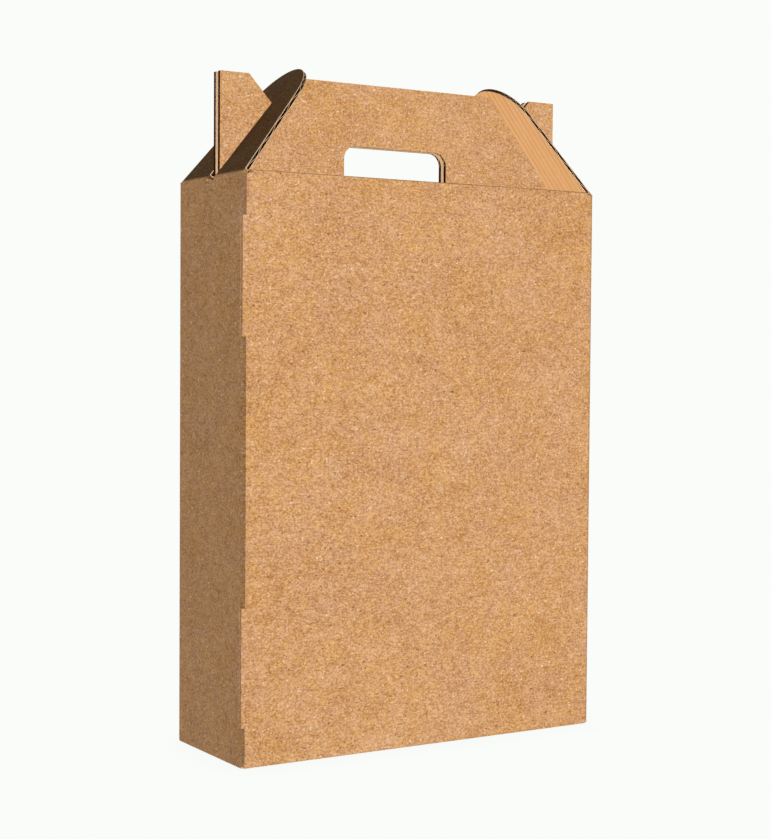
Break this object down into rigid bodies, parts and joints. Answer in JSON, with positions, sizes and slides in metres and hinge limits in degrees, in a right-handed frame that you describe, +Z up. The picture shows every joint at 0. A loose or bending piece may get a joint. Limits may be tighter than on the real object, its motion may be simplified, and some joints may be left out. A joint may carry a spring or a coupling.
{
  "type": "wine bottle carrier box",
  "caption": "Upright kraft corrugated carrier box for wine bottles, with a double carry handle, hooked ears and slotted side flaps that lock over them, and a folded divider inside.",
  "frame": {"origin": "on the floor, under the middle of the closed box", "axes": "+X along the front panel to the right, +Y from the front panel to the back panel, +Z up to the handle"},
  "size_m": [0.254, 0.086, 0.4131],
  "materials": {
    "kraft_board": "uncoated brown kraft liner over a fluted core",
    "divider_board": "uncoated brown kraft liner over a fine fluted core"
  },
  "bodies": {
    "box": {"carton": "kraft_board", "bottle_divider": "divider_board"},
    "left_flap": {"left_side_flap": "kraft_board"},
    "right_flap": {"right_side_flap": "kraft_board"}
  },
  "joints": [
    {"name": "left_flap_crease", "type": "hinge", "parent": "box", "child": "left_flap", "pos_m": [-0.127, 0, 0.3439], "axis": [0, -1, 0], "range_deg": [0, 150]},
    {"name": "right_flap_crease", "type": "hinge", "parent": "box", "child": "right_flap", "pos_m": [0.127, 0, 0.3439], "axis": [0, 1, 0], "range_deg": [0, 150]}
  ]
}
